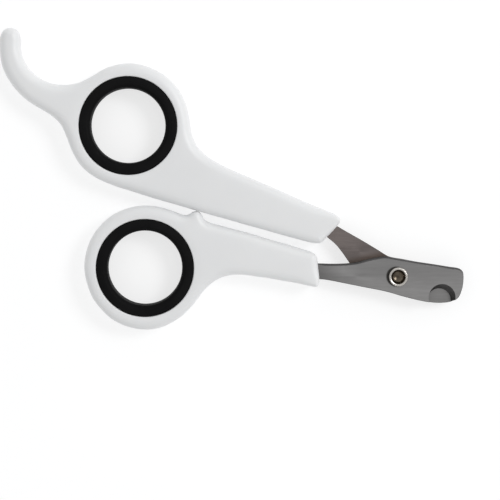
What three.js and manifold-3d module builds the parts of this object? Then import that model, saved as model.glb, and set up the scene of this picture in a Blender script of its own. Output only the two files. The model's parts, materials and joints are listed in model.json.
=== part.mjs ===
// Scissor-type pet nail trimmer: two moulded handles with soft ring inserts,
// two short notched blades whose tangs sit in the handles, and a semi-tubular
// pivot rivet.  Millimetres, +Z up.  The trimmer lies flat and fully closed:
// X runs towards the blade tips, Y from the thumb ring to the finger ring, and
// Z is the direction of the pivot.  z = 0 is the flat back of both handles.
//
// All shapes are written about the pivot axis at (0, 0); the outer group then
// moves the pivot so that the origin is the middle of the footprint.

import * as THREE from 'three';
import { mergeVertices } from 'three/addons/utils/BufferGeometryUtils.js';
import Module from 'manifold-3d';

// ---------------------------------------------------------------- dimensions

const PIVOT = { x: 44.726, y: -26.397 };      // pivot axis in the part's frame

const HANDLE_THICK = 8.0;                    // handle slab, back face at z = 0
const HANDLE_EDGE = 1.6;                     // edge rounding of the handles
const OUTLINE_POINTS = 96;                   // outline facets of a handle

const THUMB_RING = { x: -68.4, y: 2.6 };     // centre of the thumb ring
const FINGER_RING = { x: -72.8, y: 40.75 };  // centre of the finger ring
const HOLE_R = 10.0;                         // finger hole in the insert
const INSERT_R = 13.05;                      // insert, outer
const INSERT_RIB_R = 13.8;                   // retaining rib round the insert
const INSERT_RECESS = 0.15;                  // insert below the handle's faces
const INSERT_LIP = 0.8;                      // rounding of the insert's mouth
const INSERT_GAP = 0.12;                     // insert to handle
const RIB_HALF = 1.2;                        // half the rib's width

const BLADE_THICK = 1.8;
const REAR_Z = 2.15;                         // back of the rear blade
const BLADE_GAP = 0.1;                       // running gap between the blades
const FRONT_Z = REAR_Z + BLADE_THICK + BLADE_GAP;
const TANG_GAP = 0.1;                        // tang to handle, all round
const TANG_HOLE_R = 1.0;                     // hole in each tang
const TANG_PEG_R = 0.85;                     // handle's peg through that hole

const SHANK_R = 2.2;                         // rivet shank
const RIVET_BORE_R = 1.82;                   // hollow end of the rivet
const RIM_R = 2.56;                          // rolled rim, in front
const RIM_TOP = 0.72;                        // rim above the front blade
const HEAD_R = 3.2;                          // formed head, behind
const HEAD_THICK = 0.75;
const PIVOT_CLEARANCE = 0.06;                // turning blade round the shank
const SEAT_CLEARANCE = 0.03;                 // fixed blade round the shank

const NOTCH_EDGE = { x: 11.34, y: -6.48, r: 3.21 };   // cutting edge, at the blades' meeting plane
const NOTCH_FACE = { x: 11.93, y: -5.62, r: 3.65 };   // where the bevel meets the outer face
const BLADE_AXIS_DEG = -7.5;                 // line through the pivot that the notches mirror about

// Closed control polygons, anticlockwise, one [x, y] for each bend.
const FINGER_HANDLE = [
  // finger-rest hook, outer side from its tip round to the ring
  [-104.5, 66.95], [-106.05, 66.3], [-107.0, 64.4], [-107.1, 60.6], [-106.6, 57.0], [-105.1, 53.5],
  [-102.9, 50.4], [-100.15, 47.7], [-96.9, 45.6], [-93.4, 43.5], [-90.9, 41.1],
  // under the ring
  [-89.4, 37.9], [-87.9, 34.0], [-86.0, 30.6], [-83.5, 28.1], [-80.2, 26.1], [-76.3, 24.5],
  // lower edge of the shank
  [-72.1, 23.2], [-67.7, 21.8], [-63.3, 20.5], [-58.8, 19.2], [-54.4, 17.9], [-50.0, 16.6], [-45.6, 15.4],
  [-41.2, 14.1], [-36.8, 12.9], [-32.3, 11.6], [-27.9, 10.4], [-23.7, 9.3], [-21.2, 9.2],
  // front end
  [-19.3, 10.9], [-16.6, 13.9], [-15.7, 15.4], [-16.4, 16.5],
  // upper edge of the shank
  [-19.6, 18.0], [-23.8, 19.7], [-28.0, 21.5], [-32.2, 23.4], [-36.4, 25.2], [-40.6, 27.0], [-44.8, 28.8],
  [-48.7, 30.7], [-52.0, 32.8], [-54.4, 35.4], [-55.8, 38.6],
  // over the ring
  [-56.4, 42.5], [-57.3, 46.4], [-58.9, 49.8], [-61.2, 52.7], [-64.2, 55.0], [-67.7, 56.6], [-71.3, 57.4],
  [-75.0, 57.2], [-78.6, 56.2], [-82.1, 54.2],
  // hook, inner side
  [-85.6, 52.4], [-89.1, 51.7], [-92.9, 51.8], [-96.1, 52.9], [-98.9, 55.0], [-100.8, 57.7], [-101.75, 60.9],
  [-101.85, 64.3], [-102.75, 66.35],
];
const THUMB_HANDLE = [
  // lower edge of the ring, from its left
  [-84.8, 2.6], [-84.4, -0.4], [-83.5, -3.4], [-82.2, -6.2], [-80.3, -8.6], [-78.1, -10.8], [-75.6, -12.4],
  [-72.8, -13.5], [-69.8, -14.1], [-66.8, -14.1], [-63.9, -13.5], [-61.1, -12.2], [-58.5, -10.5], [-56.2, -8.3],
  [-54.2, -5.8], [-52.2, -3.2], [-50.0, -1.3], [-47.6, -0.0],
  // lower edge of the shank
  [-44.8, 0.6], [-41.7, 0.6], [-38.3, 0.1], [-34.6, -0.4], [-31.0, -1.1], [-27.4, -1.7], [-23.9, -2.4],
  // front end
  [-21.8, -2.6], [-21.2, -2.1], [-21.1, -0.3], [-21.4, 2.9], [-21.7, 5.4], [-22.5, 6.4],
  // upper edge of the shank
  [-24.8, 7.1], [-28.0, 8.1], [-31.4, 9.1], [-34.9, 10.1], [-38.4, 11.2], [-41.9, 12.2], [-45.3, 13.1],
  [-48.7, 14.0], [-51.3, 14.7], [-54.2, 15.4], [-57.5, 16.4],
  // upper edge of the ring
  [-60.7, 17.7], [-63.8, 18.7], [-66.9, 19.2], [-70.0, 19.2], [-73.0, 18.6], [-75.8, 17.5], [-78.4, 15.9],
  [-80.6, 13.8], [-82.4, 11.4], [-83.7, 8.6], [-84.5, 5.6],
];
// The stop bump on the thumb handle's upper edge, which the finger handle
// closes against.
const STOP_BUMP = [
  [-58.2, 13.0], [-52.4, 13.0], [-52.3, 14.9], [-52.7, 15.9], [-53.1, 16.6], [-53.6, 17.35], [-54.2, 17.72],
  [-54.8, 17.76], [-55.5, 17.6], [-56.1, 17.2], [-56.8, 16.7], [-57.8, 16.3],
];
const STOP_BUMP_Z = [1.4, 6.6];

// Blades: the working part, then the tang in its handle.
const FRONT_BLADE = [
  [-21.6, -0.55], [-19.6, -0.75], [-14.9, -1.65], [-9.0, -2.84], [-4.6, -3.7], [-2.5, -4.2], [1.8, -5.45],
  [6.0, -6.48], [8.2, -6.88], [10.4, -7.12], [12.6, -7.12], [14.7, -6.7], [16.3, -5.75], [17.15, -4.0],
  [17.58, -2.25], [17.72, 0.2], [17.5, 1.4], [16.7, 2.15], [14.0, 2.63], [9.6, 3.35], [5.4, 3.98], [1.2, 4.65],
  [-1.2, 5.1], [-3.0, 5.45], [-4.2, 5.45], [-6.0, 5.15], [-8.6, 4.6], [-11.0, 3.95], [-13.2, 3.65],
  [-17.0, 3.5], [-21.6, 3.6],
];
const FRONT_TANG = [[-39.8, 7.2], [-40.6, 6.2], [-40.6, 4.9], [-39.8, 4.1]];
const FRONT_TANG_HOLE = { x: -34.0, y: 4.75 };
const REAR_BLADE = [
  [-16.3, 13.6], [-14.0, 12.25], [-9.6, 9.75], [-5.2, 7.1], [-3.5, 6.03], [-2.4, 5.42], [-1.2, 5.1],
  [1.2, 4.7], [5.4, 3.9], [9.6, 3.24], [14.0, 2.52], [16.55, 2.05], [17.4, 1.3], [17.62, 0.2], [17.48, -2.25],
  [17.05, -4.05], [16.2, -5.8], [14.7, -6.85], [12.6, -7.2], [10.4, -7.22], [8.2, -6.95], [6.0, -6.45],
  [1.8, -5.38], [-2.5, -4.1], [-5.4, -3.2], [-8.2, -1.75], [-10.6, 0.3], [-12.2, 2.4], [-13.4, 4.2],
  [-14.7, 6.1], [-16.7, 8.6], [-19.3, 10.8],
];
const REAR_TANG = [[-22.5, 12.1], [-37.6, 17.6], [-38.5, 18.5], [-38.4, 20.0], [-37.5, 20.9], [-21.5, 15.6]];
const REAR_TANG_HOLE = { x: -31.5, y: 17.15 };

// ------------------------------------------------------------------- helpers

const wasm = await Module();
wasm.setup();

const toSolid = (geometry) => {
  const bare = geometry.index ? geometry.toNonIndexed() : geometry.clone();
  for (const name of Object.keys(bare.attributes)) if (name !== 'position') bare.deleteAttribute(name);
  const merged = mergeVertices(bare, 1e-5);
  return new wasm.Manifold(new wasm.Mesh({
    numProp: 3,
    vertProperties: new Float32Array(merged.attributes.position.array),
    triVerts: new Uint32Array(merged.index.array),
  }));
};

const toGeometry = (solid) => {
  const mesh = solid.getMesh();
  const geometry = new THREE.BufferGeometry();
  const position = new Float32Array(mesh.numVert * 3);
  for (let i = 0; i < mesh.numVert; i++) {
    for (let k = 0; k < 3; k++) position[3 * i + k] = mesh.vertProperties[mesh.numProp * i + k];
  }
  geometry.setAttribute('position', new THREE.BufferAttribute(position, 3));
  geometry.setIndex(new THREE.BufferAttribute(new Uint32Array(mesh.triVerts), 1));
  geometry.computeVertexNormals();
  return geometry;
};

const vec = ([x, y]) => new THREE.Vector2(x, y);

// A smooth closed outline through the control points, evenly spaced.
const smoothOutline = (points, count) => {
  const curve = new THREE.CatmullRomCurve3(points.map(([x, y]) => new THREE.Vector3(x, y, 0)), true, 'centripetal');
  curve.arcLengthDivisions = 2000;
  const out = [];
  for (let i = 0; i < count; i++) {
    const p = curve.getPointAt(i / count);
    out.push(new THREE.Vector2(p.x, p.y));
  }
  return out;
};

// A slab between z0 and z1 whose long edges are rounded.  The rounding shrinks
// where the outline turns more tightly than the edge radius.
const roundedSlab = (outline, z0, z1, edge, arcs) => {
  const n = outline.length;
  const area = THREE.ShapeUtils.area(outline);
  const ring = area > 0 ? outline : outline.slice().reverse();
  const inward = [];
  const limit = [];
  for (let i = 0; i < n; i++) {
    const a = ring[(i + n - 1) % n];
    const b = ring[i];
    const c = ring[(i + 1) % n];
    const ab = b.clone().sub(a);
    const bc = c.clone().sub(b);
    const tangent = ab.clone().normalize().add(bc.clone().normalize()).normalize();
    inward.push(new THREE.Vector2(-tangent.y, tangent.x));
    const turn = Math.atan2(ab.cross(bc), ab.dot(bc));
    const radius = turn > 1e-4 ? 0.5 * (ab.length() + bc.length()) / turn : Infinity;
    limit.push(Math.min(edge, 0.75 * radius));
  }
  const size = limit.map((_, i) => {
    let least = Infinity;
    for (let k = -3; k <= 3; k++) least = Math.min(least, limit[(i + k + n) % n] + 0.12 * Math.abs(k));
    return Math.min(edge, least);
  });
  const layers = [];
  for (let k = 0; k <= arcs; k++) {
    const t = (Math.PI / 2) * (k / arcs);
    layers.push([1 - Math.sin(t), 1 - Math.cos(t), 0]);       // back edge: inset, rise
  }
  for (let k = arcs; k >= 0; k--) {
    const t = (Math.PI / 2) * (k / arcs);
    layers.push([1 - Math.sin(t), 1 - Math.cos(t), 1]);       // front edge
  }
  const position = [];
  for (const [inset, rise, top] of layers) {
    for (let i = 0; i < n; i++) {
      const s = size[i];
      position.push(ring[i].x + inward[i].x * inset * s, ring[i].y + inward[i].y * inset * s,
        top ? z1 - rise * s : z0 + rise * s);
    }
  }
  const index = [];
  for (let j = 0; j + 1 < layers.length; j++) {
    for (let i = 0; i < n; i++) {
      const a = j * n + i;
      const b = j * n + (i + 1) % n;
      index.push(a, b, b + n, a, b + n, a + n);
    }
  }
  const capOf = (start) => {
    const flat = [];
    for (let i = 0; i < n; i++) flat.push(new THREE.Vector2(position[3 * (start + i)], position[3 * (start + i) + 1]));
    return THREE.ShapeUtils.triangulateShape(flat, []);
  };
  for (const [a, b, c] of capOf(0)) index.push(a, c, b);
  const topStart = (layers.length - 1) * n;
  for (const [a, b, c] of capOf(topStart)) index.push(topStart + a, topStart + b, topStart + c);
  const geometry = new THREE.BufferGeometry();
  geometry.setAttribute('position', new THREE.Float32BufferAttribute(position, 3));
  geometry.setIndex(index);
  return geometry;
};

// A plain plate of a polygon.
const plate = (points, z0, z1) => {
  const geometry = new THREE.ExtrudeGeometry(new THREE.Shape(points.map(vec)), {
    depth: z1 - z0, bevelEnabled: false, steps: 1,
  });
  geometry.translate(0, 0, z0);
  return geometry;
};

// A polygon grown outwards by a distance.
const grown = (points, by) => {
  const n = points.length;
  const ring = THREE.ShapeUtils.area(points.map(vec)) > 0 ? points : points.slice().reverse();
  return ring.map((p, i) => {
    const a = vec(ring[(i + n - 1) % n]);
    const b = vec(p);
    const c = vec(ring[(i + 1) % n]);
    const n1 = b.clone().sub(a).normalize();
    const n2 = c.clone().sub(b).normalize();
    const out = new THREE.Vector2(n1.y + n2.y, -n1.x - n2.x).normalize();
    const stretch = Math.min(1.6, 1 / Math.max(0.3, out.dot(new THREE.Vector2(n1.y, -n1.x))));
    return [b.x + out.x * by * stretch, b.y + out.y * by * stretch];
  });
};

// A turned solid about a vertical axis at (x, y): profile of [radius, z].
const turned = (profile, x, y, segments) => {
  const geometry = new THREE.LatheGeometry(profile.map(([r, z]) => new THREE.Vector2(r, z)), segments);
  geometry.rotateX(Math.PI / 2);            // the lathe turns about Y
  geometry.translate(x, y, 0);
  return geometry;
};
const post = (r, z0, z1, x, y, segments) => turned([[0, z0], [r, z0], [r, z1], [0, z1]], x, y, segments);

// The cutter of a claw notch: a leaning round bar that is wider at the outer
// face of the blade, so it leaves a bevel down to the cutting edge.
const notchCutter = (edge, edgeZ, face, faceZ, segments) => {
  const at = (t) => ({
    x: edge.x + (face.x - edge.x) * t, y: edge.y + (face.y - edge.y) * t,
    r: edge.r + (face.r - edge.r) * t, z: edgeZ + (faceZ - edgeZ) * t,
  });
  const ends = [at(-0.3), at(1.3)].sort((p, q) => p.z - q.z);
  const position = [];
  for (const e of ends) {
    for (let i = 0; i < segments; i++) {
      const a = (2 * Math.PI * i) / segments;
      position.push(e.x + e.r * Math.cos(a), e.y + e.r * Math.sin(a), e.z);
    }
  }
  for (const e of ends) position.push(e.x, e.y, e.z);
  const index = [];
  for (let i = 0; i < segments; i++) {
    const j = (i + 1) % segments;
    index.push(i, j, segments + j, i, segments + j, segments + i);
    index.push(2 * segments, j, i, 2 * segments + 1, segments + i, segments + j);
  }
  const geometry = new THREE.BufferGeometry();
  geometry.setAttribute('position', new THREE.Float32BufferAttribute(position, 3));
  geometry.setIndex(index);
  return geometry;
};

const mirroredNotch = ({ x, y, r }) => {
  const radius = Math.hypot(x, y);
  const angle = 2 * THREE.MathUtils.degToRad(BLADE_AXIS_DEG) - Math.atan2(y, x);
  return { x: radius * Math.cos(angle), y: radius * Math.sin(angle), r };
};

const piece = (name, geometry, colour, roughness, metalness) => {
  const mesh = new THREE.Mesh(geometry, new THREE.MeshStandardMaterial({ color: colour, roughness, metalness }));
  mesh.name = name;
  return mesh;
};

// ------------------------------------------------------------------- handles

const BORE_R = INSERT_R + INSERT_GAP;
const GROOVE_R = INSERT_RIB_R + INSERT_GAP;
const MID_Z = HANDLE_THICK / 2;
const RING_FACETS = 48;

// The stepped hole of a handle's ring: a plain bore with a groove for the rib.
const ringBore = ({ x, y }) => turned([
  [0, -1], [BORE_R, -1], [BORE_R, MID_Z - RIB_HALF - INSERT_GAP], [GROOVE_R, MID_Z - RIB_HALF - INSERT_GAP + 0.5],
  [GROOVE_R, MID_Z + RIB_HALF + INSERT_GAP - 0.5], [BORE_R, MID_Z + RIB_HALF + INSERT_GAP],
  [BORE_R, HANDLE_THICK + 1], [0, HANDLE_THICK + 1],
], x, y, RING_FACETS);

const tangPocket = (outline, bladeZ, hole) => {
  const pocket = toSolid(plate(grown(outline, TANG_GAP), bladeZ - TANG_GAP, bladeZ + BLADE_THICK + TANG_GAP));
  const peg = toSolid(post(TANG_PEG_R, bladeZ - 0.6, bladeZ + BLADE_THICK + 0.6, hole.x, hole.y, 20));
  return pocket.subtract(peg);
};

const frontTangOutline = [[-20.0, -0.6], [-20.0, 3.5], [-21.6, 3.6], ...FRONT_TANG, [-21.6, -0.55]];
const rearTangOutline = [[-18.3, 9.9], [-19.3, 10.8], ...REAR_TANG, [-16.3, 13.6], [-15.0, 12.8]];

const finger = toSolid(roundedSlab(smoothOutline(FINGER_HANDLE, OUTLINE_POINTS + 32), 0, HANDLE_THICK, HANDLE_EDGE, 2))
  .subtract(toSolid(ringBore(FINGER_RING)))
  .subtract(tangPocket(rearTangOutline, REAR_Z, REAR_TANG_HOLE));

const thumb = toSolid(roundedSlab(smoothOutline(THUMB_HANDLE, OUTLINE_POINTS), 0, HANDLE_THICK, HANDLE_EDGE, 2))
  .add(toSolid(plate(STOP_BUMP, STOP_BUMP_Z[0], STOP_BUMP_Z[1])))
  .subtract(toSolid(ringBore(THUMB_RING)))
  .subtract(tangPocket(frontTangOutline, FRONT_Z, FRONT_TANG_HOLE));

// -------------------------------------------------------------- ring inserts

const insertProfile = (() => {
  const z0 = INSERT_RECESS;
  const z1 = HANDLE_THICK - INSERT_RECESS;
  const lip = INSERT_LIP;
  const c = lip * (1 - Math.SQRT1_2);
  const inner = [
    [HOLE_R, z1 - lip], [HOLE_R, z0 + lip], [HOLE_R + c, z0 + c], [HOLE_R + lip, z0],
  ];
  const outer = [
    [INSERT_R - 0.2, z0], [INSERT_R, z0 + 0.2],
    [INSERT_R, MID_Z - RIB_HALF], [INSERT_RIB_R, MID_Z - RIB_HALF + 0.5],
    [INSERT_RIB_R, MID_Z + RIB_HALF - 0.5], [INSERT_R, MID_Z + RIB_HALF],
    [INSERT_R, z1 - 0.2], [INSERT_R - 0.2, z1],
  ];
  const top = [[HOLE_R + lip, z1], [HOLE_R + c, z1 - c], [HOLE_R, z1 - lip]];
  return [...inner, ...outer, ...top];
})();
const insert = ({ x, y }) => turned(insertProfile, x, y, RING_FACETS);

// -------------------------------------------------------------------- blades

const frontBlade = toSolid(plate([...FRONT_BLADE, ...FRONT_TANG], FRONT_Z, FRONT_Z + BLADE_THICK))
  .subtract(toSolid(post(SHANK_R + SEAT_CLEARANCE, 0, HANDLE_THICK, 0, 0, 40)))
  .subtract(toSolid(post(TANG_HOLE_R, 0, HANDLE_THICK, FRONT_TANG_HOLE.x, FRONT_TANG_HOLE.y, 20)))
  .subtract(toSolid(notchCutter(NOTCH_EDGE, FRONT_Z, NOTCH_FACE, FRONT_Z + BLADE_THICK, 40)));

const rearBlade = toSolid(plate([...REAR_BLADE, ...REAR_TANG], REAR_Z, REAR_Z + BLADE_THICK))
  .subtract(toSolid(post(SHANK_R + PIVOT_CLEARANCE, 0, HANDLE_THICK, 0, 0, 40)))
  .subtract(toSolid(post(TANG_HOLE_R, 0, HANDLE_THICK, REAR_TANG_HOLE.x, REAR_TANG_HOLE.y, 20)))
  .subtract(toSolid(notchCutter(mirroredNotch(NOTCH_EDGE), REAR_Z + BLADE_THICK, mirroredNotch(NOTCH_FACE), REAR_Z, 40)));

// --------------------------------------------------------------------- rivet

const FACE_Z = FRONT_Z + BLADE_THICK;        // front face of the front blade
const BACK_Z = REAR_Z - BLADE_GAP;           // the head's seat behind the rear blade
const rivetProfile = [
  [0, BACK_Z - HEAD_THICK], [HEAD_R - 0.6, BACK_Z - HEAD_THICK], [HEAD_R - 0.15, BACK_Z - HEAD_THICK + 0.3],
  [HEAD_R, BACK_Z - 0.2], [HEAD_R - 0.1, BACK_Z], [SHANK_R, BACK_Z],
  [SHANK_R, FACE_Z + 0.05], [RIM_R - 0.1, FACE_Z + 0.08], [RIM_R, FACE_Z + 0.34], [RIM_R - 0.12, FACE_Z + 0.6],
  [RIM_R - 0.36, FACE_Z + RIM_TOP], [RIVET_BORE_R + 0.14, FACE_Z + 0.6], [RIVET_BORE_R, FACE_Z + 0.3],
  [RIVET_BORE_R, REAR_Z + 0.9], [RIVET_BORE_R - 0.3, REAR_Z + 0.6], [0, REAR_Z + 0.3],
];

// ------------------------------------------------------------------ assembly

const WHITE = 0xeef0ef;
const BLACK = 0x151516;
const STEEL = 0x9c9a98;

const thumbHalf = new THREE.Group();
thumbHalf.add(
  piece('thumb_handle', toGeometry(thumb), WHITE, 0.35, 0),
  piece('thumb_ring_insert', insert(THUMB_RING), BLACK, 0.6, 0),
  piece('front_blade', toGeometry(frontBlade), STEEL, 0.38, 1),
  piece('pivot_rivet', turned(rivetProfile, 0, 0, 32), 0xc9c7c3, 0.22, 1),
);

const fingerHalf = new THREE.Group();
fingerHalf.add(
  piece('finger_handle', toGeometry(finger), WHITE, 0.35, 0),
  piece('finger_ring_insert', insert(FINGER_RING), BLACK, 0.6, 0),
  piece('rear_blade', toGeometry(rearBlade), STEEL, 0.38, 1),
);

const trimmer = new THREE.Group();
trimmer.position.set(PIVOT.x, PIVOT.y, 0);
trimmer.add(thumbHalf, fingerHalf);

export default trimmer;
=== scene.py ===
# Pet nail trimmer, scissor type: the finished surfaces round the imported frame.
# Metres, in the frame's own axes: the trimmer lies flat, +X towards the blade
# tips, +Z along the pivot.
import json
import math

import bmesh
import bpy
import numpy as np
from mathutils import Matrix, Vector, geometry


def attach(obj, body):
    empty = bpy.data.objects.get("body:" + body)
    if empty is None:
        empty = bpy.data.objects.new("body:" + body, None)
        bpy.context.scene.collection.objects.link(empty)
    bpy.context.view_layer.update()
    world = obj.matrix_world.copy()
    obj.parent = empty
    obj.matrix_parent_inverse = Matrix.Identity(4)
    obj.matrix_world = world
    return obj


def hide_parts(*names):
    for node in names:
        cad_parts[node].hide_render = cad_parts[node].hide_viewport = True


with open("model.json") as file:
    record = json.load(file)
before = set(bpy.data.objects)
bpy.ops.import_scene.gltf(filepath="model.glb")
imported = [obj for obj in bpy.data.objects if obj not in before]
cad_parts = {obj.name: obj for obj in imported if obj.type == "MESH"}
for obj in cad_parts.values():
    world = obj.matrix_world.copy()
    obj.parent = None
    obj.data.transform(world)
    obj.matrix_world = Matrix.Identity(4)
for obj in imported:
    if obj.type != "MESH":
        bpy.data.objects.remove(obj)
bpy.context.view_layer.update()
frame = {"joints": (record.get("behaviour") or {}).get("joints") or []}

MM = 0.001
JOINT = frame["joints"][0]
PIVOT = np.array(JOINT["pos_m"][:2], float) / MM      # mm

# ------------------------------------------------------------------ dimensions
# (millimetres, about the pivot axis, as in the CAD source)

THICK = 8.0
THUMB_RING = np.array([-68.4, 2.6])
FINGER_RING = np.array([-72.8, 40.75])
BORE_R = 13.17

FINGER_HANDLE = [
    (-104.5, 66.95), (-106.05, 66.3), (-107.0, 64.4), (-107.1, 60.6), (-106.6, 57.0), (-105.1, 53.5),
    (-102.9, 50.4), (-100.15, 47.7), (-96.9, 45.6), (-93.4, 43.5), (-90.9, 41.1),
    (-89.4, 37.9), (-87.9, 34.0), (-86.0, 30.6), (-83.5, 28.1), (-80.2, 26.1), (-76.3, 24.5),
    (-72.1, 23.2), (-67.7, 21.8), (-63.3, 20.5), (-58.8, 19.2), (-54.4, 17.9), (-50.0, 16.6), (-45.6, 15.4),
    (-41.2, 14.1), (-36.8, 12.9), (-32.3, 11.6), (-27.9, 10.4), (-23.7, 9.3), (-21.2, 9.2),
    (-19.3, 10.9), (-16.6, 13.9), (-15.7, 15.4), (-16.4, 16.5),
    (-19.6, 18.0), (-23.8, 19.7), (-28.0, 21.5), (-32.2, 23.4), (-36.4, 25.2), (-40.6, 27.0), (-44.8, 28.8),
    (-48.7, 30.7), (-52.0, 32.8), (-54.4, 35.4), (-55.8, 38.6),
    (-56.4, 42.5), (-57.3, 46.4), (-58.9, 49.8), (-61.2, 52.7), (-64.2, 55.0), (-67.7, 56.6), (-71.3, 57.4),
    (-75.0, 57.2), (-78.6, 56.2), (-82.1, 54.2),
    (-85.6, 52.4), (-89.1, 51.7), (-92.9, 52.0), (-95.95, 53.15), (-98.65, 55.25), (-100.5, 57.85), (-101.45, 60.95),
    (-101.5, 64.3), (-102.5, 66.35),
]
THUMB_HANDLE = [
    (-84.8, 2.6), (-84.4, -0.4), (-83.5, -3.4), (-82.2, -6.2), (-80.3, -8.6), (-78.1, -10.8), (-75.6, -12.4),
    (-72.8, -13.5), (-69.8, -14.1), (-66.8, -14.1), (-63.9, -13.5), (-61.1, -12.2), (-58.5, -10.5), (-56.2, -8.3),
    (-54.2, -5.8), (-52.2, -3.2), (-50.0, -1.3), (-47.6, -0.0),
    (-44.8, 0.6), (-41.7, 0.6), (-38.3, 0.1), (-34.6, -0.4), (-31.0, -1.1), (-27.4, -1.7), (-23.9, -2.4),
    (-22.1, -2.6), (-21.55, -2.1), (-21.45, -0.3), (-21.75, 2.9), (-22.05, 5.4), (-22.8, 6.4),
    (-24.8, 7.1), (-28.0, 8.1), (-31.4, 9.1), (-34.9, 10.1), (-38.4, 11.2), (-41.9, 12.2), (-45.3, 13.1),
    (-48.7, 14.0), (-51.4, 14.8),
    # stop bump
    (-52.4, 15.4), (-52.9, 16.3), (-53.4, 17.15), (-54.0, 17.65), (-54.8, 17.78), (-55.5, 17.6), (-56.2, 17.15),
    (-57.0, 16.65), (-58.2, 16.75),
    (-60.7, 17.7), (-63.8, 18.7), (-66.9, 19.2), (-70.0, 19.2), (-73.0, 18.6), (-75.8, 17.5), (-78.4, 15.9),
    (-80.6, 13.8), (-82.4, 11.4), (-83.7, 8.6), (-84.5, 5.6),
]
FRONT_BLADE = [
    (-21.6, -0.55), (-19.6, -0.75), (-14.9, -1.65), (-9.0, -2.84), (-4.6, -3.7), (-2.5, -4.2), (1.8, -5.45),
    (6.0, -6.48), (8.2, -6.88), (10.4, -7.12), (12.6, -7.12), (14.7, -6.7), (16.3, -5.75), (17.15, -4.0),
    (17.58, -2.25), (17.72, 0.2), (17.5, 1.4), (16.7, 2.15), (14.0, 2.63), (9.6, 3.35), (5.4, 3.98), (1.2, 4.65),
    (-1.2, 5.1), (-3.0, 5.45), (-4.2, 5.45), (-6.0, 5.15), (-8.6, 4.6), (-11.0, 3.95), (-13.2, 3.65),
    (-17.0, 3.5), (-21.6, 3.6),
]
FRONT_TANG = [(-39.8, 7.2), (-40.6, 6.2), (-40.6, 4.9), (-39.8, 4.1)]
REAR_BLADE = [
    (-16.3, 13.6), (-14.0, 12.25), (-9.6, 9.75), (-5.2, 7.1), (-3.5, 6.03), (-2.4, 5.42), (-1.2, 5.1),
    (1.2, 4.7), (5.4, 3.9), (9.6, 3.24), (14.0, 2.52), (16.55, 2.05), (17.4, 1.3), (17.62, 0.2), (17.48, -2.25),
    (17.05, -4.05), (16.2, -5.8), (14.7, -6.85), (12.6, -7.2), (10.4, -7.22), (8.2, -6.95), (6.0, -6.45),
    (1.8, -5.38), (-2.5, -4.1), (-5.4, -3.2), (-8.2, -1.75), (-10.6, 0.3), (-12.2, 2.4), (-13.4, 4.2),
    (-14.7, 6.1), (-16.7, 8.6), (-19.3, 10.8),
]
REAR_TANG = [(-22.5, 12.1), (-37.6, 17.6), (-38.5, 18.5), (-38.4, 20.0), (-37.5, 20.9), (-21.5, 15.6)]
REAR_Z, FRONT_Z, BLADE_T = 2.15, 4.05, 1.8
NOTCH_EDGE = (11.34, -6.48, 3.21)
NOTCH_FACE = (11.93, -5.62, 3.65)
BLADE_AXIS = math.radians(-7.5)

# ------------------------------------------------------------------ small maths


def catmull(points, closed, per=16):
    """Centripetal Catmull-Rom curve through the points."""
    p = np.array(points, float)
    n = len(p)
    out = []
    for i in range(n if closed else n - 1):
        if closed:
            a, b, c, d = p[(i - 1) % n], p[i], p[(i + 1) % n], p[(i + 2) % n]
        else:
            b, c = p[i], p[i + 1]
            a = p[i - 1] if i else 2 * b - c
            d = p[i + 2] if i + 2 < n else 2 * c - b
        t0, t1, t2 = (max(np.hypot(*(v - u)) ** 0.5, 1e-4) for u, v in ((a, b), (b, c), (c, d)))
        m1 = ((b - a) / t0 - (c - a) / (t0 + t1) + (c - b) / t1) * t1
        m2 = ((c - b) / t1 - (d - b) / (t1 + t2) + (d - c) / t2) * t1
        s = (np.arange(per) / per)[:, None]
        out.append(b + m1 * s + (3 * (c - b) - 2 * m1 - m2) * s**2 + (2 * (b - c) + m1 + m2) * s**3)
    if not closed:
        out.append(p[-1:])
    return np.vstack(out)


def resample(p, n=None, step=None, closed=False):
    q = np.vstack([p, p[:1]]) if closed else p
    s = np.r_[0, np.cumsum(np.hypot(*np.diff(q, axis=0).T))]
    if n is None:
        n = max(2, int(round(s[-1] / step)) + (0 if closed else 1))
    t = np.linspace(0, s[-1], n + 1)[:-1] if closed else np.linspace(0, s[-1], n)
    return np.c_[np.interp(t, s, q[:, 0]), np.interp(t, s, q[:, 1])]


def ring_blur(v, sigma):
    """Gaussian smoothing of values round a closed ring; sigma in samples."""
    n = len(v)
    f = np.fft.fftfreq(n)
    g = np.exp(-2 * (math.pi * f * sigma) ** 2)
    return np.real(np.fft.ifft(np.fft.fft(v, axis=0) * (g[:, None] if v.ndim > 1 else g), axis=0))


def normals_of(p):
    """Inward unit normals of an anticlockwise ring."""
    t = np.roll(p, -1, 0) - np.roll(p, 1, 0)
    t /= np.hypot(*t.T)[:, None]
    return np.c_[-t[:, 1], t[:, 0]]


def area_of(p):
    x, y = p.T
    return 0.5 * np.sum(x * np.roll(y, -1) - np.roll(x, -1) * y)


def smoothstep(a, b, x):
    t = np.clip((x - a) / (b - a), 0, 1)
    return t * t * (3 - 2 * t)


def inside(points, ring):
    x, y = points.T
    hit = np.zeros(len(points), bool)
    a, b = ring, np.roll(ring, -1, 0)
    for (x1, y1), (x2, y2) in zip(a, b):
        if y1 == y2:
            continue
        cross = (y1 > y) != (y2 > y)
        hit ^= cross & (x < (x2 - x1) * (y - y1) / (y2 - y1) + x1)
    return hit


def nearest(points, ring):
    """Distance of each point to the ring, and the nearest vertex's number."""
    a, b = ring, np.roll(ring, -1, 0)
    ab = b - a
    l2 = (ab**2).sum(1)
    dist, index = np.empty(len(points)), np.empty(len(points), int)
    for k in range(0, len(points), 512):
        p = points[k:k + 512]
        ap = p[:, None] - a[None]
        t = np.clip((ap * ab).sum(2) / l2, 0, 1)
        d = np.hypot(*(ap - t[..., None] * ab).transpose(2, 0, 1))
        j = d.argmin(1)
        dist[k:k + 512], index[k:k + 512] = d[np.arange(len(p)), j], j
    return dist, index


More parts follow.
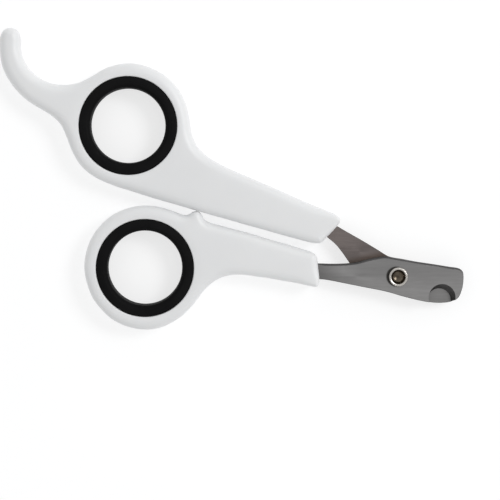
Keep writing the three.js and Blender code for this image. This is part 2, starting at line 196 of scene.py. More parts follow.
def make_object(name, verts, faces, offset=True, sharp=None):
    """A mesh object from vertices in mm about the pivot."""
    v = np.array(verts, float)
    if offset:
        v[:, :2] += PIVOT
    mesh = bpy.data.meshes.new(name)
    mesh.from_pydata((v * MM).tolist(), [], [list(map(int, f)) for f in faces])
    mesh.validate()
    bm = bmesh.new()
    bm.from_mesh(mesh)
    bmesh.ops.remove_doubles(bm, verts=bm.verts, dist=1e-7)
    bmesh.ops.recalc_face_normals(bm, faces=bm.faces)
    if bm.calc_volume(signed=True) < 0:
        bmesh.ops.reverse_faces(bm, faces=bm.faces)
    for f in bm.faces:
        f.smooth = True
    if sharp is not None:
        for e in bm.edges:
            if len(e.link_faces) == 2 and e.calc_face_angle(0) > sharp:
                e.smooth = False
    bm.to_mesh(mesh)
    bm.free()
    obj = bpy.data.objects.new(name, mesh)
    bpy.context.scene.collection.objects.link(obj)
    return obj


def cap_triangles(outer, hole=None, extra=None):
    """Triangles that fill a ring, round a hole, through extra inner points."""
    coords = [outer] + ([hole] if hole is not None else []) + ([extra] if extra is not None and len(extra) else [])
    pts = np.vstack(coords)
    edges = [(i, (i + 1) % len(outer)) for i in range(len(outer))]
    if hole is not None:
        n, m = len(outer), len(hole)
        edges += [(n + i, n + (i + 1) % m) for i in range(m)]
    res = geometry.delaunay_2d_cdt([Vector(p) for p in pts.tolist()], edges, [], 0, 1e-9)
    assert len(res[0]) == len(pts), (len(res[0]), len(pts))
    order = [ids[0] for ids in res[3]]                       # output vertex -> input vertex
    tris = np.array([[order[i] for i in f] for f in res[2]], int)
    mid = pts[tris].mean(1)
    keep = inside(mid, outer)
    if hole is not None:
        keep &= ~inside(mid, hole)
    return pts, tris[keep]


# --------------------------------------------------------------------- handles


def handle(name, control, ring_centre, hook):
    fine = resample(catmull(control, True, 24), step=0.05, closed=True)
    fine = ring_blur(fine, 0.45 / 0.05)
    p = resample(fine, step=0.30, closed=True)
    if area_of(p) < 0:
        p = p[::-1].copy()
    nrm = normals_of(p)
    n = len(p)

    # the largest ball inside that touches each outline point
    d = p[None] - p[:, None]
    along = (d * nrm[:, None]).sum(2)
    dist2 = (d**2).sum(2)
    ball = np.where(along > 1e-3, dist2 / np.maximum(2 * along, 1e-9), 1e9)
    np.fill_diagonal(ball, 1e9)
    ball = ball.min(1)
    limit = np.minimum(0.86 * ball, 2.7)
    land = np.hypot(*(p - ring_centre).T) - BORE_R - 0.32 - 0.15   # what the ring leaves beside the bore
    limit = np.minimum(limit, land)
    for _ in range(2):                                        # change slowly along the edge
        for k in range(1, 26):
            for sgn in (1, -1):
                limit = np.minimum(limit, np.roll(limit, sgn * k) + 0.30 * 0.30 * k)
    size = np.minimum(np.minimum(ring_blur(limit, 4.0), 0.90 * ball), land)
    reach = np.minimum(ring_blur(np.minimum(np.minimum(ball, 5.5), limit * 3.0), 6.0), 5.5)

    def half_and_round(xy, s):
        far = np.hypot(*(xy - ring_centre).T)
        w = smoothstep(20.0, 30.0, far) * (xy[:, 0] < ring_centre[0]) if hook else np.zeros(len(xy))
        half = THICK / 2 - (1.35 * smoothstep(21.0, 42.0, far) * (xy[:, 0] < ring_centre[0]) if hook else 0)
        up = np.minimum(2.3, s * 0.95)
        up = up * (1 - w) + (half - 0.35) * w
        return half, up

    crown = 0.22

    def height(xy, dd, idx):
        s = size[idx]
        half, up = half_and_round(xy, s)
        t = 1 - np.clip(dd / s, 0, 1)
        c = 1 - np.clip(dd / reach[idx], 0, 1)
        far = np.hypot(*(xy - ring_centre).T)
        # squarer than round along the shank, round along the hook and the ring
        w = smoothstep(21.0, 42.0, far) * (xy[:, 0] < ring_centre[0]) if hook else np.zeros(len(xy))
        w = np.maximum(w, (0.85 if hook else 0.5) * (1 - smoothstep(19.0, 27.0, far)))
        e = 2.6 - 0.6 * w
        dish = 0.16 * np.clip(1 - (far - BORE_R - 0.32) / 2.4, 0, 1) ** 2
        return half - up * (1 - np.maximum(0, 1 - t**e) ** (1 / e)) - crown * c**2 - dish

    arcs = 12
    theta = np.linspace(0, math.pi / 2, arcs + 1)
    inset = 1 - np.cos(theta)
    rings = [p + nrm * (size * f)[:, None] for f in inset]
    heights = [height(r, size * f, np.arange(n)) for r, f in zip(rings, inset)]

    # rim of the bore, a small round
    m = 288
    ang = np.linspace(0, 2 * math.pi, m, endpoint=False)
    circle = np.c_[np.cos(ang), np.sin(ang)]
    fillet = 0.32
    bore_steps = [fillet * (1 - math.cos(t)) for t in np.linspace(0, math.pi / 2, 6)]
    bore_rings = [ring_centre + circle * (BORE_R + s) for s in bore_steps]
    bore_drop = [fillet * (1 - math.sin(t)) for t in np.linspace(0, math.pi / 2, 6)]

    inner = rings[-1]
    lo, hi = inner.min(0), inner.max(0)
    gx, gy = np.meshgrid(np.arange(lo[0], hi[0], 0.9), np.arange(lo[1], hi[1], 0.78))
    gx = gx + 0.45 * (np.arange(gx.shape[0]) % 2)[:, None]
    grid = np.c_[gx.ravel(), gy.ravel()]
    grid = grid[inside(grid, inner)]
    dg, ig = nearest(grid, p)
    dr = np.hypot(*(grid - ring_centre).T)
    keep = (dg > size[ig] + 0.45) & (dr > BORE_R + fillet + 0.45)
    grid = grid[keep]

    pts, tris = cap_triangles(inner, bore_rings[-1], grid)
    dp, ip = nearest(pts, p)
    zp = height(pts, dp, ip)
    zp[:n] = heights[-1]

    verts, faces = [], []
    mid = THICK / 2

    def add(xy, z):
        start = len(verts)
        verts.extend(np.c_[xy, z].tolist())
        return start

    def band(a, b, count):
        for i in range(count):
            j = (i + 1) % count
            faces.append((a + i, a + j, b + j, b + i))

    bores = {}
    walls = {}
    for side in (1, -1):
        starts = [add(r, mid + side * h) for r, h in zip(rings[:-1], heights[:-1])]
        cap = add(pts, mid + side * zp)
        starts.append(cap)
        for a, b in zip(starts[:-1], starts[1:]):
            band(a, b, n)
        faces.extend((tris + cap).tolist())
        # bore rim: ring 5 is part of the cap
        zb = zp[n:n + m]
        last = cap + n
        for k in range(4, -1, -1):
            nxt = add(bore_rings[k], mid + side * (zb - bore_drop[k]))
            band(last, nxt, m)
            last = nxt
        bores[side] = last
        walls[side] = starts[0]
    band(bores[1], bores[-1], m)
    # side wall with a faint parting line round the middle
    h0 = heights[0]
    prev = walls[-1]
    for f, out in ((-0.55, 0.0), (-0.10, 0.0), (-0.045, 0.022), (0.0, 0.03), (0.045, 0.022), (0.10, 0.0), (0.55, 0.0)):
        zz = mid + (h0 * f if abs(f) > 0.2 else np.full(n, f))
        nxt = add(p - nrm * out, zz)
        band(prev, nxt, n)
        prev = nxt
    band(prev, walls[1], n)
    return make_object(name, verts, faces)


# ---------------------------------------------------------------------- turned


def turned(name, profile, centre, segments, closed=True, sharp=None):
    """A turned solid about a vertical axis: profile rings of (radius, z)."""
    ang = np.linspace(0, 2 * math.pi, segments, endpoint=False)
    verts, faces, starts = [], [], []
    for r, z in profile:
        starts.append((len(verts), r))
        if r < 1e-6:
            verts.append((centre[0], centre[1], z))
        else:
            verts.extend(np.c_[centre[0] + r * np.cos(ang), centre[1] + r * np.sin(ang), np.full(segments, z)].tolist())
    pairs = list(zip(starts, starts[1:] + (starts[:1] if closed else [])))
    for (a, ra), (b, rb) in pairs:
        for i in range(segments):
            j = (i + 1) % segments
            if ra < 1e-6 and rb < 1e-6:
                break
            if ra < 1e-6:
                faces.append((a, b + j, b + i))
            elif rb < 1e-6:
                faces.append((a + i, a + j, b))
            else:
                faces.append((a + i, a + j, b + j, b + i))
    return make_object(name, verts, faces, sharp=sharp)


def fillet_run(corner_points, radii, arc=6):
    """A profile through corners, each rounded by its radius (closed)."""
    p = np.array(corner_points, float)
    out = []
    n = len(p)
    for i in range(n):
        a, b, c = p[i - 1], p[i], p[(i + 1) % n]
        r = radii[i]
        u, v = a - b, c - b
        lu, lv = np.hypot(*u), np.hypot(*v)
        u, v = u / lu, v / lv
        cosang = np.clip(u @ v, -1, 1)
        ang = math.acos(cosang)
        if r <= 0 or ang > math.pi - 0.02:
            out.append(b)
            continue
        t = min(r / math.tan(ang / 2), 0.48 * lu, 0.48 * lv)
        r = t * math.tan(ang / 2)
        centre = b + (u + v) / np.hypot(*(u + v)) * (r / math.sin(ang / 2))
        s, e = b + u * t - centre, b + v * t - centre
        a0 = math.atan2(s[1], s[0])
        turn = math.atan2(s[0] * e[1] - s[1] * e[0], s @ e)
        for k in range(arc + 1):
            q = a0 + turn * k / arc
            out.append(centre + r * np.array([math.cos(q), math.sin(q)]))
    return out


def insert(name, centre):
    """Soft ring: a softly crowned face, rounded mouth, and the rib that holds it."""
    z0, z1 = 0.12, THICK - 0.12
    mid = THICK / 2
    # the finger side swells slightly between its two rounded mouths
    swell = [(9.94 + 0.22 * (t * t), mid + 3.1 * t) for t in np.linspace(-1, 1, 13)]
    corners = swell + [
        (10.95, z1), (11.9, z1 + 0.0), (12.86, z1 - 0.14), (13.09, z1 - 0.40),
        (13.09, 5.2), (13.75, 4.7), (13.75, 3.3), (13.09, 2.8),
        (13.09, z0 + 0.40), (12.86, z0 + 0.14), (11.9, z0), (10.95, z0),
    ]
    radii = [1.2] + [0] * 11 + [1.2, 0.9, 1.0, 0.25, 0.2, 0, 0.1, 0.1, 0, 0.2, 0.25, 1.0, 0.9]
    return turned(name, fillet_run(corners, radii, 7), centre, 256)


def rivet(name):
    face, back = FRONT_Z + BLADE_T, REAR_Z - 0.1
    bowl_r, bowl_z = 2.5, face - 1.55
    bowl = [(r, bowl_z + bowl_r - math.sqrt(bowl_r**2 - r * r)) for r in np.linspace(0, 1.5, 17)]
    corners = [
        (2.2, back), (3.1, back), (3.2, back - 0.3), (2.75, back - 0.75), (0.0, back - 0.75),
    ] + bowl + [
        (1.74, face - 0.75), (1.78, face + 0.1),
        (1.98, face + 0.62), (2.3, face + 0.72), (2.56, face + 0.5), (2.56, face + 0.12), (2.36, face + 0.02), (2.2, face + 0.02),
    ]
    radii = [0, 0.08, 0.25, 0.35, 0] + [0] * 17 + [0.15, 0.3, 0.2, 0.25, 0.2, 0.15, 0.05, 0]
    prof = fillet_run(corners, radii, 7)
    return turned(name, prof, (0.0, 0.0), 160)


# ---------------------------------------------------------------------- blades


def mirrored(c):
    r, a = math.hypot(c[0], c[1]), 2 * BLADE_AXIS - math.atan2(c[1], c[0])
    return (r * math.cos(a), r * math.sin(a), c[2])


def blade(name, run, tang, z0, notch_edge, notch_face, edge_up, top_round, hole_r):
    """A stamped blade between z0 and z0 + BLADE_T.  The notch's cutting edge is
    on the face towards the other blade (edge_up: that is the upper face)."""
    work = resample(catmull(run, False, 24), step=0.22)
    ring = np.vstack([work, np.array(tang, float)])
    nw = len(work)
    if area_of(ring) < 0:
        ring = ring[::-1].copy()
        is_work = np.r_[np.zeros(len(tang), bool), np.ones(nw, bool)]
    else:
        is_work = np.r_[np.ones(nw, bool), np.zeros(len(tang), bool)]
    nrm = normals_of(ring)
    # width of the broken edge on the outer face: broad along the upper edge
    up = smoothstep(0.30, 0.75, -nrm[:, 1]) * is_work
    broad = np.where(ring[:, 0] > -21, up, 0)
    broad = np.convolve(np.r_[broad[-4:], broad, broad[:4]], np.ones(9) / 9, "same")[4:-4]
    outer_w = 0.12 + (top_round[0] - 0.12) * broad
    outer_d = 0.12 + (top_round[1] - 0.12) * broad

    lo, hi = z0, z0 + BLADE_T
    t_up = (lambda z: (hi - z) / BLADE_T) if edge_up else (lambda z: (z - lo) / BLADE_T)

    def level(z, inset):
        """Outline at height z, its edge moved in by inset (per vertex)."""
        q = ring + nrm * np.broadcast_to(inset, len(ring))[:, None]
        t = t_up(z)
        cx, cy, cr = (notch_edge[k] + (notch_face[k] - notch_edge[k]) * t for k in range(3))
        far = np.hypot(q[:, 0] - cx, q[:, 1] - cy)
        inn = far < cr
        k0 = int(np.argmax(inn & ~np.roll(inn, 1)))           # first vertex inside
        roll = np.roll(q, -k0, 0)
        ins = np.roll(inn, -k0)
        count = int(np.argmin(ins))                           # vertices inside

        def crossing(a, b):
            d = b - a
            f = a - np.array([cx, cy])
            A, B, C = d @ d, 2 * (f @ d), f @ f - cr * cr
            root = math.sqrt(max(B * B - 4 * A * C, 0))
            s = [x for x in ((-B - root) / (2 * A), (-B + root) / (2 * A)) if -1e-6 <= x <= 1 + 1e-6]
            return a + d * (s[0] if s else 0.5)

        first = crossing(roll[-1], roll[0])
        second = crossing(roll[count - 1], roll[count])
        a0 = math.atan2(first[1] - cy, first[0] - cx)
        a1 = math.atan2(second[1] - cy, second[0] - cx)
        # the arc that lies inside the blade
        turn = (a1 - a0) % (2 * math.pi)
        midp = np.array([cx + cr * math.cos(a0 + turn / 2), cy + cr * math.sin(a0 + turn / 2)])
        if not inside(midp[None], q)[0]:
            turn -= 2 * math.pi
        aa = a0 + turn * np.linspace(0, 1, 73)
        arc = np.c_[cx + cr * np.cos(aa), cy + cr * np.sin(aa)]
        # keep a fixed number of vertices on each side of the notch
        # the outline's other stretch starts at `second` and ends at `first`
        rest = np.vstack([second[None], roll[count:], first[None]])
        return arc, rest, k0, count

    steps = [(lo, 0.05), (lo + 0.05, 0.0), (hi - 0.05, 0.0), (hi, 0.05)]
    # outer face: rounded break in four steps
    outer_hi = not edge_up
    arcsteps = [0.0, 0.35, 0.75, 1.0]
    levels = []
    if outer_hi:
        levels += [(np.full(len(ring), lo), np.full(len(ring), 0.05)), (np.full(len(ring), lo + 0.05), np.zeros(len(ring)))]
        for s in arcsteps:
            levels.append((hi - outer_d * (1 - s) ** 1.35, outer_w * s))
    else:
        for s in reversed(arcsteps):
            levels.append((lo + outer_d * (1 - s) ** 1.35, outer_w * s))
        levels += [(np.full(len(ring), hi - 0.05), np.zeros(len(ring))), (np.full(len(ring), hi), np.full(len(ring), 0.05))]

    # All levels share the vertex count: the stretch outside the notch is cut
    # into the same number of pieces at each level.
    rows = []
    n_rest = None
    for zz, ins in levels:
        zmean = hi if (zz.mean() > (lo + hi) / 2) else lo
        # height for the notch wall: its own level without the edge break
        zn = float(np.clip(np.median(zz), lo, hi))
        if outer_hi and zmean == hi:
            zn = hi - 0.0 * outer_d.mean() - (hi - lo) * 0.0 - (1 - min(1.0, float(ins.mean() / max(outer_w.mean(), 1e-9)))) * 0.06
        if (not outer_hi) and zmean == lo:
            zn = lo + (1 - min(1.0, float(ins.mean() / max(outer_w.mean(), 1e-9)))) * 0.06
        arc, rest, k0, count = level(zn, ins)
        zrest = np.interp(np.arange(len(rest)), np.arange(len(rest)),
                          np.r_[zn, np.roll(zz, -k0)[count:], zn])
        if n_rest is None:
            n_rest = len(rest) + 10
        s = np.r_[0, np.cumsum(np.hypot(*np.diff(rest, axis=0).T))]
        # evenly spaced along the stretch
        u = np.linspace(0, 1, n_rest)
        t = u * s[-1]
        rr = np.c_[np.interp(t, s, rest[:, 0]), np.interp(t, s, rest[:, 1])]
        zr = np.interp(t, s, zrest)
        rows.append((np.vstack([arc, rr[1:-1]]), np.r_[np.full(len(arc), zn), zr[1:-1]]))

    verts, faces = [], []
    count = len(rows[0][0])
    for xy, z in rows:
        verts.extend(np.c_[xy, z].tolist())
    for k in range(len(rows) - 1):
        a, b = k * count, (k + 1) * count
        for i in range(count):
            j = (i + 1) % count
            faces.append((a + i, a + j, b + j, b + i))
    ang = np.linspace(0, 2 * math.pi, 96, endpoint=False)
    hole = np.c_[hole_r * np.cos(ang), hole_r * np.sin(ang)]
    ends = []
    for k, z in ((0, lo), (len(rows) - 1, hi)):
        outer = rows[k][0]
        pts, tris = cap_triangles(outer, hole)
        start = len(verts)
        verts.extend(np.c_[hole, np.full(96, z)].tolist())
        ends.append(start)
        remap = np.r_[np.arange(count) + k * count, np.arange(96) + start]
        faces.extend(remap[tris].tolist())
    for i in range(96):
        j = (i + 1) % 96
        faces.append((ends[0] + i, ends[0] + j, ends[1] + j, ends[1] + i))
    obj = make_object(name, verts, faces, sharp=math.radians(7))
    mod = obj.modifiers.new("weighted", "WEIGHTED_NORMAL")
    mod.mode = "FACE_AREA"
    mod.weight = 60
    mod.keep_sharp = True
    return obj


# -------------------------------------------------------------------- materials


def new_material(name):
    mat = bpy.data.materials.new(name)
    mat.use_nodes = True
    nt = mat.node_tree
    nt.nodes.clear()
    out = nt.nodes.new("ShaderNodeOutputMaterial")
    bsdf = nt.nodes.new("ShaderNodeBsdfPrincipled")
    nt.links.new(bsdf.outputs["BSDF"], out.inputs["Surface"])
    coord = nt.nodes.new("ShaderNodeTexCoord")
    return mat, nt, bsdf, coord


def mapped(nt, coord, scale, rotation=(0, 0, 0)):
    m = nt.nodes.new("ShaderNodeMapping")
    m.inputs["Scale"].default_value = scale
    m.inputs["Rotation"].default_value = rotation
    nt.links.new(coord.outputs["Object"], m.inputs["Vector"])
    return m.outputs["Vector"]


def noise(nt, vector, scale, detail=3.0, rough=0.5):
    n = nt.nodes.new("ShaderNodeTexNoise")
    n.inputs["Scale"].default_value = scale
    n.inputs["Detail"].default_value = detail
    n.inputs["Roughness"].default_value = rough
    nt.links.new(vector, n.inputs["Vector"])
    return n.outputs["Fac"]


def ramp(nt, fac, stops):
    r = nt.nodes.new("ShaderNodeValToRGB")
    while len(r.color_ramp.elements) < len(stops):
        r.color_ramp.elements.new(0.5)
    for e, (pos, col) in zip(r.color_ramp.elements, stops):
        e.position = pos
        e.color = (*col, 1) if len(col) == 3 else col
    nt.links.new(fac, r.inputs["Fac"])
    return r.outputs["Color"]


def remap(nt, fac, lo, hi, a=0.0, b=1.0):
    r = nt.nodes.new("ShaderNodeMapRange")
    r.inputs["From Min"].default_value = a
    r.inputs["From Max"].default_value = b
    r.inputs["To Min"].default_value = lo
    r.inputs["To Max"].default_value = hi
    nt.links.new(fac, r.inputs["Value"])
    return r.outputs["Result"]


def bump(nt, bsdf, *heights):
    """Chained bumps: (height socket, strength, distance in metres)."""
    last = None
    for h, strength, dist in heights:
        b = nt.nodes.new("ShaderNodeBump")
        b.inputs["Strength"].default_value = strength
        b.inputs["Distance"].default_value = dist
        nt.links.new(h, b.inputs["Height"])
        if last is not None:
            nt.links.new(last, b.inputs["Normal"])
        last = b.outputs["Normal"]
    nt.links.new(last, bsdf.inputs["Normal"])


def white_plastic():
    mat, nt, bsdf, coord = new_material("white_moulded_plastic")
    v = mapped(nt, coord, (1, 1, 1))
    cloud = noise(nt, v, 55.0, 3.0)
    bsdf.inputs["Roughness"].default_value = 0.4
    nt.links.new(ramp(nt, cloud, [(0.30, (0.812, 0.820, 0.828)), (0.70, (0.840, 0.847, 0.852))]), bsdf.inputs["Base Color"])
    fine = noise(nt, v, 2600.0, 2.0)
    nt.links.new(remap(nt, noise(nt, v, 900.0, 4.0, 0.6), 0.34, 0.44, 0.3, 0.7), bsdf.inputs["Roughness"])
    bsdf.inputs["IOR"].default_value = 1.49
    bsdf.inputs["Subsurface Weight"].default_value = 0.12
    bsdf.inputs["Subsurface Radius"].default_value = (1.0, 0.95, 0.9)
    bsdf.inputs["Subsurface Scale"].default_value = 0.0012
    peel = noise(nt, v, 420.0, 2.0)
    bump(nt, bsdf, (peel, 0.10, 0.00004), (fine, 0.12, 0.00001))
    return mat


def black_rubber():
    mat, nt, bsdf, coord = new_material("black_soft_insert")
    v = mapped(nt, coord, (1, 1, 1))
    cloud = noise(nt, v, 160.0, 4.0)
    nt.links.new(ramp(nt, cloud, [(0.3, (0.0028, 0.0028, 0.0031)), (0.7, (0.0050, 0.0050, 0.0053))]), bsdf.inputs["Base Color"])
    nt.links.new(remap(nt, noise(nt, v, 1500.0, 4.0, 0.6), 0.60, 0.74, 0.3, 0.7), bsdf.inputs["Roughness"])
    bsdf.inputs["Specular IOR Level"].default_value = 0.10
    bsdf.inputs["Sheen Weight"].default_value = 0.01
    bsdf.inputs["Sheen Roughness"].default_value = 0.4
    grain = noise(nt, v, 3200.0, 3.0, 0.6)
    bump(nt, bsdf, (grain, 0.25, 0.00002))
    return mat


def rivet_shadow_crescent(nt, coord):
    """Painted shadow: a dark crescent on the left of the rivet's rim."""
    m = nt.nodes.new("ShaderNodeMapping")
    m.inputs["Location"].default_value = (-(PIVOT[0] - 0.60) * MM, -(PIVOT[1] + 0.13) * MM, 0)
    m.inputs["Scale"].default_value = (1, 1, 0)
    nt.links.new(coord.outputs["Object"], m.inputs["Vector"])
    far = nt.nodes.new("ShaderNodeVectorMath")
    far.operation = "LENGTH"
    nt.links.new(m.outputs["Vector"], far.inputs[0])
    return remap(nt, far.outputs["Value"], 0.92, 0.0, 0.00248, 0.00282)


def blade_shadow_band(nt, coord):
    """Painted shadow: a band along the other blade's upper edge as it lies when closed."""
    m = nt.nodes.new("ShaderNodeMapping")
    m.inputs["Location"].default_value = (-(PIVOT[0] - 12.0) * MM, -(PIVOT[1] + 3.9) * MM, 0)
    nt.links.new(coord.outputs["Object"], m.inputs["Vector"])
    dot = nt.nodes.new("ShaderNodeVectorMath")
    dot.operation = "DOT_PRODUCT"
    nt.links.new(m.outputs["Vector"], dot.inputs[0])
    dot.inputs[1].default_value = (-0.23, 0.973, 0)
    near = remap(nt, dot.outputs["Value"], 0.75, 0.0, 0.0003, 0.0016)
    sep = nt.nodes.new("ShaderNodeSeparateXYZ")
    nt.links.new(coord.outputs["Object"], sep.inputs["Vector"])
    here = remap(nt, sep.outputs["X"], 1.0, 0.0, (PIVOT[0] - 1.0) * MM, (PIVOT[0] + 2.0) * MM)
    both = nt.nodes.new("ShaderNodeMath")
    both.operation = "MULTIPLY"
    nt.links.new(near, both.inputs[0])
    nt.links.new(here, both.inputs[1])
    return both.outputs["Value"]


def blend(nt, fac, a, b):
    m = nt.nodes.new("ShaderNodeMix")
    m.data_type = "RGBA"
    nt.links.new(fac, m.inputs["Factor"])
    for socket, value in ((m.inputs[6], a), (m.inputs[7], b)):
        nt.links.new(value, socket)
    return m.outputs[2]


def blade_steel(name, dark, light, angle, edge, tip=None, root=None, painted_shadow=None, rough=(0.50, 0.60)):
    mat, nt, bsdf, coord = new_material(name)
    bsdf.inputs["Metallic"].default_value = 1.0
    along = mapped(nt, coord, (300.0, 9000.0, 9000.0), (0, 0, angle))
    brush = noise(nt, along, 1.0, 4.0, 0.62)
    wide = mapped(nt, coord, (60.0, 900.0, 900.0), (0, 0, angle))
    bands = noise(nt, wide, 1.0, 3.0, 0.5)
    plain = mapped(nt, coord, (1, 1, 1))
    cloud = noise(nt, plain, 120.0, 4.0, 0.55)
    mix = nt.nodes.new("ShaderNodeMix")
    mix.data_type = "FLOAT"
    mix.inputs["Factor"].default_value = 0.45
    nt.links.new(brush, mix.inputs["A"])
    nt.links.new(bands, mix.inputs["B"])
    mix2 = nt.nodes.new("ShaderNodeMix")
    mix2.data_type = "FLOAT"
    mix2.inputs["Factor"].default_value = 0.35
    nt.links.new(mix.outputs["Result"], mix2.inputs["A"])
    nt.links.new(cloud, mix2.inputs["B"])
    face = ramp(nt, mix2.outputs["Result"], [(0.34, dark), (0.66, light)])
    if tip is not None:
        # lighter towards the tip: nearer the handle the colour is painted shade, where the front blade lies over this
        # one
        sep = nt.nodes.new("ShaderNodeSeparateXYZ")
        nt.links.new(plain, sep.inputs["Vector"])
        here = remap(nt, sep.outputs["X"], 0.0, 1.0, (PIVOT[0] + 1.0) * MM, (PIVOT[0] + 7.0) * MM)
        face = blend(nt, here, face, ramp(nt, mix2.outputs["Result"], [(0.34, tip[0]), (0.66, tip[1])]))
    if root is not None:
        # painted shade close to the moulding: the steel is darker by the handle end
        sep = nt.nodes.new("ShaderNodeSeparateXYZ")
        nt.links.new(plain, sep.inputs["Vector"])
        here = remap(nt, sep.outputs["X"], 1.0, 0.0, (PIVOT[0] - 21.5) * MM, (PIVOT[0] - 15.0) * MM)
        face = blend(nt, here, face, ramp(nt, mix2.outputs["Result"], [(0.34, root[0]), (0.66, root[1])]))
    # painted shade: sheared walls, broken edges and the ground notch, picked out by their slope, are darker than the
    # faces
    geo = nt.nodes.new("ShaderNodeNewGeometry")
    nz = nt.nodes.new("ShaderNodeSeparateXYZ")
    nt.links.new(geo.outputs["True Normal"], nz.inputs["Vector"])
    flat = nt.nodes.new("ShaderNodeMath")
    flat.operation = "ABSOLUTE"
    nt.links.new(nz.outputs["Z"], flat.inputs[0])
    side = remap(nt, flat.outputs["Value"], 1.0, 0.0, 0.90, 0.985)
    painted_edge_shade = ramp(nt, mix2.outputs["Result"], [(0.34, edge[0]), (0.66, edge[1])])
    steel = blend(nt, side, face, painted_edge_shade)
    if painted_shadow is not None:
        # painted shadow beside the neighbouring piece, in a darker, browner colour
        shadow_colour = ramp(nt, mix2.outputs["Result"], [(0.34, painted_shadow[1]), (0.66, painted_shadow[2])])
        steel = blend(nt, painted_shadow[0](nt, coord), steel, shadow_colour)
    nt.links.new(steel, bsdf.inputs["Base Color"])
    nt.links.new(remap(nt, mix2.outputs["Result"], rough[1], rough[0], 0.3, 0.7), bsdf.inputs["Roughness"])
    bsdf.inputs["Anisotropic"].default_value = 0.35
    bump(nt, bsdf, (brush, 0.16, 0.00001), (cloud, 0.04, 0.00003))
    return mat


def bright_rivet():
    mat, nt, bsdf, coord = new_material("bright_rivet_steel")
    bsdf.inputs["Metallic"].default_value = 1.0
    v = mapped(nt, coord, (1, 1, 1))
    cloud = noise(nt, v, 700.0, 4.0)
    rim = ramp(nt, cloud, [(0.3, (0.60, 0.57, 0.53)), (0.7, (0.74, 0.715, 0.68))])
    # painted shade in the bore: the hollow is coloured brown and dark
    m = nt.nodes.new("ShaderNodeMapping")
    m.inputs["Location"].default_value = (-PIVOT[0] * MM, -PIVOT[1] * MM, 0)
    m.inputs["Scale"].default_value = (1, 1, 0)
    nt.links.new(coord.outputs["Object"], m.inputs["Vector"])
    far = nt.nodes.new("ShaderNodeVectorMath")
    far.operation = "LENGTH"
    nt.links.new(m.outputs["Vector"], far.inputs[0])
    within = remap(nt, far.outputs["Value"], 1.0, 0.0, 0.00172, 0.00192)
    sep = nt.nodes.new("ShaderNodeSeparateXYZ")
    nt.links.new(v, sep.inputs["Vector"])
    bore = nt.nodes.new("ShaderNodeMath")
    bore.operation = "MULTIPLY"
    nt.links.new(within, bore.inputs[0])
    nt.links.new(remap(nt, sep.outputs["Z"], 0.0, 1.0, 0.0028, 0.0032), bore.inputs[1])
    bore = bore.outputs["Value"]
    nt.links.new(blend(nt, bore, rim, ramp(nt, cloud, [(0.3, (0.088, 0.071, 0.053)), (0.7, (0.185, 0.157, 0.123))])), bsdf.inputs["Base Color"])
    nt.links.new(remap(nt, noise(nt, v, 2500.0, 4.0, 0.6), 0.22, 0.31, 0.3, 0.7), bsdf.inputs["Roughness"])
    bump(nt, bsdf, (noise(nt, v, 1400.0, 3.0), 0.15, 0.00003))
    return mat


def floor_material():
    mat, nt, bsdf, coord = new_material("pale_studio_floor")
    v = mapped(nt, coord, (1, 1, 1))
    cloud = noise(nt, v, 6.0, 2.0)
    nt.links.new(ramp(nt, cloud, [(0.3, (0.375, 0.377, 0.38)), (0.7, (0.39, 0.392, 0.395))]), bsdf.inputs["Base Color"])
    bsdf.inputs["Roughness"].default_value = 0.7
    bsdf.inputs["Specular IOR Level"].default_value = 0.2
    bsdf.inputs["Emission Color"].default_value = (1, 1, 1, 1)
    bsdf.inputs["Emission Strength"].default_value = 0.67
    return mat


# ----------------------------------------------------------------------- pieces

plastic = white_plastic()
rubber = black_rubber()
# front blade: the root colours are painted shade by the handle end, the edge colours painted shade on walls and edges,
# the crescent a painted shadow
front_steel = blade_steel("brushed_steel_front", (0.248, 0.244, 0.243), (0.304, 0.300, 0.299), math.radians(8),
                          ((0.075, 0.073, 0.073), (0.12, 0.117, 0.117)),
                          root=((0.165, 0.162, 0.161), (0.205, 0.201, 0.200)),
                          painted_shadow=(rivet_shadow_crescent, (0.020, 0.018, 0.016), (0.034, 0.031, 0.028)))
# rear blade: its darker, browner base is painted shade under the front blade, the tip colours its unshaded tone, the
# band a painted shadow
rear_steel = blade_steel("brushed_steel_rear", (0.163, 0.141, 0.135), (0.222, 0.194, 0.186), math.radians(28),
                         ((0.06, 0.055, 0.052), (0.095, 0.088, 0.084)),
                         tip=((0.200, 0.197, 0.195), (0.262, 0.258, 0.256)),
                         painted_shadow=(blade_shadow_band, (0.10, 0.075, 0.062), (0.15, 0.118, 0.10)))
rivet_steel = bright_rivet()


def place(obj, body, node, mat):
    obj.data.materials.append(mat)
    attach(obj, body)
    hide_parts(node)
    return obj


place(handle("thumb_handle_shell", THUMB_HANDLE, THUMB_RING, False), "thumb_half", "thumb_handle", plastic)
place(handle("finger_handle_shell", FINGER_HANDLE, FINGER_RING, True), "finger_half", "finger_handle", plastic)
place(insert("thumb_insert_ring", THUMB_RING), "thumb_half", "thumb_ring_insert", rubber)
place(insert("finger_insert_ring", FINGER_RING), "finger_half", "finger_ring_insert", rubber)
place(blade("front_blade_steel", FRONT_BLADE, FRONT_TANG, FRONT_Z, NOTCH_EDGE, NOTCH_FACE, False, (0.54, 0.34), 2.23),
      "thumb_half", "front_blade", front_steel)
place(blade("rear_blade_steel", REAR_BLADE, REAR_TANG, REAR_Z, mirrored(NOTCH_EDGE), mirrored(NOTCH_FACE), True, (0.12, 0.12), 2.26),
      "finger_half", "rear_blade", rear_steel)
place(rivet("hollow_rivet"), "thumb_half", "pivot_rivet", rivet_steel)

# ------------------------------------------------------------- floor and lights

floor_mesh = bpy.data.meshes.new("studio_floor")
half = 3.0
floor_mesh.from_pydata([(-half, -half, -4e-5), (half, -half, -4e-5), (half, half, -4e-5), (-half, half, -4e-5)], [], [(0, 1, 2, 3)])
floor = bpy.data.objects.new("studio_floor", floor_mesh)
bpy.context.scene.collection.objects.link(floor)
floor.data.materials.append(floor_material())

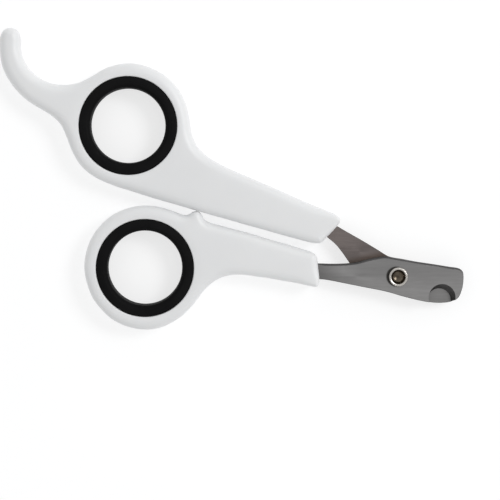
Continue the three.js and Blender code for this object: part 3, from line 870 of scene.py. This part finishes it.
world = bpy.data.worlds.new("studio")
bpy.context.scene.world = world
world.use_nodes = True
wn = world.node_tree
wn.nodes.clear()
wo = wn.nodes.new("ShaderNodeOutputWorld")
bg = wn.nodes.new("ShaderNodeBackground")
bg.inputs["Strength"].default_value = 1.0
tc = wn.nodes.new("ShaderNodeTexCoord")
lean = wn.nodes.new("ShaderNodeVectorMath")      # darker low down and to the left
lean.operation = "DOT_PRODUCT"
lean.inputs[1].default_value = (0.38, 0.12, 1.0)
wn.links.new(tc.outputs["Generated"], lean.inputs[0])
wr = wn.nodes.new("ShaderNodeValToRGB")
wr.color_ramp.elements.new(0.5)
for e, (pos, level) in zip(wr.color_ramp.elements, ((0.0, 0.42), (0.50, 0.82), (1.0, 0.50))):
    e.position = pos
    e.color = (level, level, level, 1)
wn.links.new(lean.outputs["Value"], wr.inputs["Fac"])
wn.links.new(wr.outputs["Color"], bg.inputs["Color"])
wn.links.new(bg.outputs["Background"], wo.inputs["Surface"])


def area(name, loc, target, size, power, colour=(1, 1, 1)):
    data = bpy.data.lights.new(name, "AREA")
    data.shape = "RECTANGLE"
    data.size, data.size_y = size
    data.energy = power
    data.color = colour
    obj = bpy.data.objects.new(name, data)
    obj.location = loc
    obj.rotation_mode = "QUATERNION"
    obj.rotation_quaternion = (Vector(target) - Vector(loc)).to_track_quat("-Z", "Y")
    bpy.context.scene.collection.objects.link(obj)
    return obj


area("key_softbox", (0.75, 0.36, 0.94), (0.02, 0.0, 0.0), (0.42, 0.42), 4.95)
area("top_softbox", (0.16, 0.70, 0.50), (0.0, 0.0, 0.0), (1.0, 0.40), 0.34)

# ----------------------------------------------------------------------- camera

cam_data = bpy.data.cameras.new("camera")
cam = bpy.data.objects.new("camera", cam_data)
bpy.context.scene.collection.objects.link(cam)
bpy.context.scene.camera = cam
cam_data.sensor_width = 36.0
cam_data.lens = 120.0
cam_data.clip_start, cam_data.clip_end = 0.01, 20.0
aim = Vector((4.63, -19.135, 4.5)) * MM
eye = Vector((-6.44, 6.245, 454.5)) * MM
forward = (aim - eye).normalized()
right = forward.cross(Vector((0, 1, 0))).normalized()
up = right.cross(forward)
cam.matrix_world = Matrix((
    (right.x, up.x, -forward.x, eye.x),
    (right.y, up.y, -forward.y, eye.y),
    (right.z, up.z, -forward.z, eye.z),
    (0, 0, 0, 1),
))
bpy.context.scene.view_settings.view_transform = "Standard"
